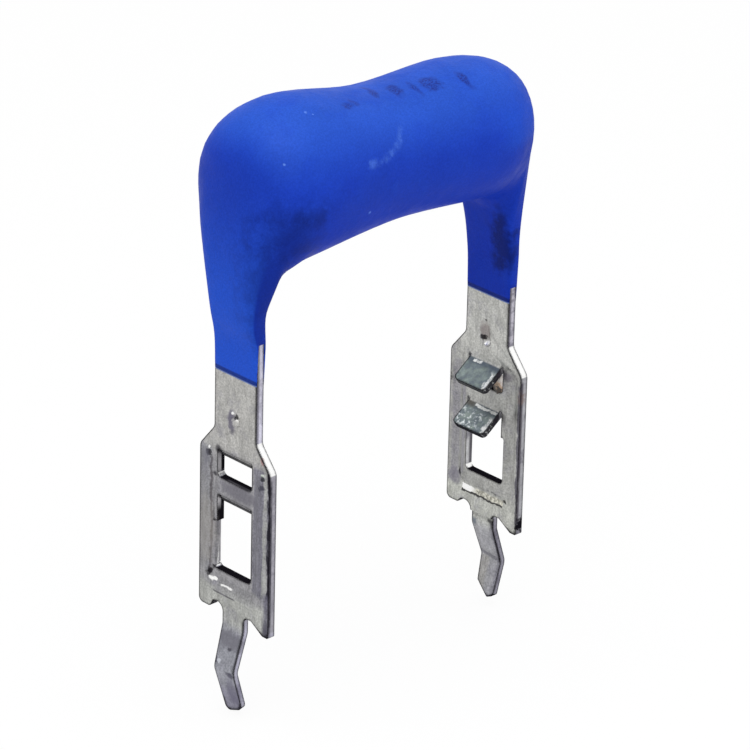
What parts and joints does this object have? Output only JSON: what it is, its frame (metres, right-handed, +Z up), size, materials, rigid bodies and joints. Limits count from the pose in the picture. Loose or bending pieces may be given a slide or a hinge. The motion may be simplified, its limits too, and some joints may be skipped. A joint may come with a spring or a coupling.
{
  "type": "resistor",
  "caption": "Upright power film resistor: a coated blue rod carried between stamped metal terminals with windows, lanced flaps, stand-off feet and kinked solder pins.",
  "frame": {"origin": "on the circuit board's top surface, where the stand-off feet rest, midway between the two pins", "axes": "+X from the left terminal to the right one along the rod, +Z up away from the board, -Y towards the side of the long stand-off feet"},
  "size_m": [0.0221, 0.009, 0.0374],
  "materials": {
    "coating": "satin royal blue flameproof coating, lightly scuffed",
    "ceramic": "unglazed off-white alumina",
    "film": "dull brown sputtered film",
    "cap": "satin tin-plated steel",
    "terminal": "tin-plated steel, warm grey, slightly mottled"
  },
  "bodies": {
    "root": {"coating": "coating", "ceramic_core": "ceramic", "resistive_film": "film", "end_cap_left": "cap", "end_cap_right": "cap", "terminal_left": "terminal", "terminal_right": "terminal"}
  },
  "joints": []
}
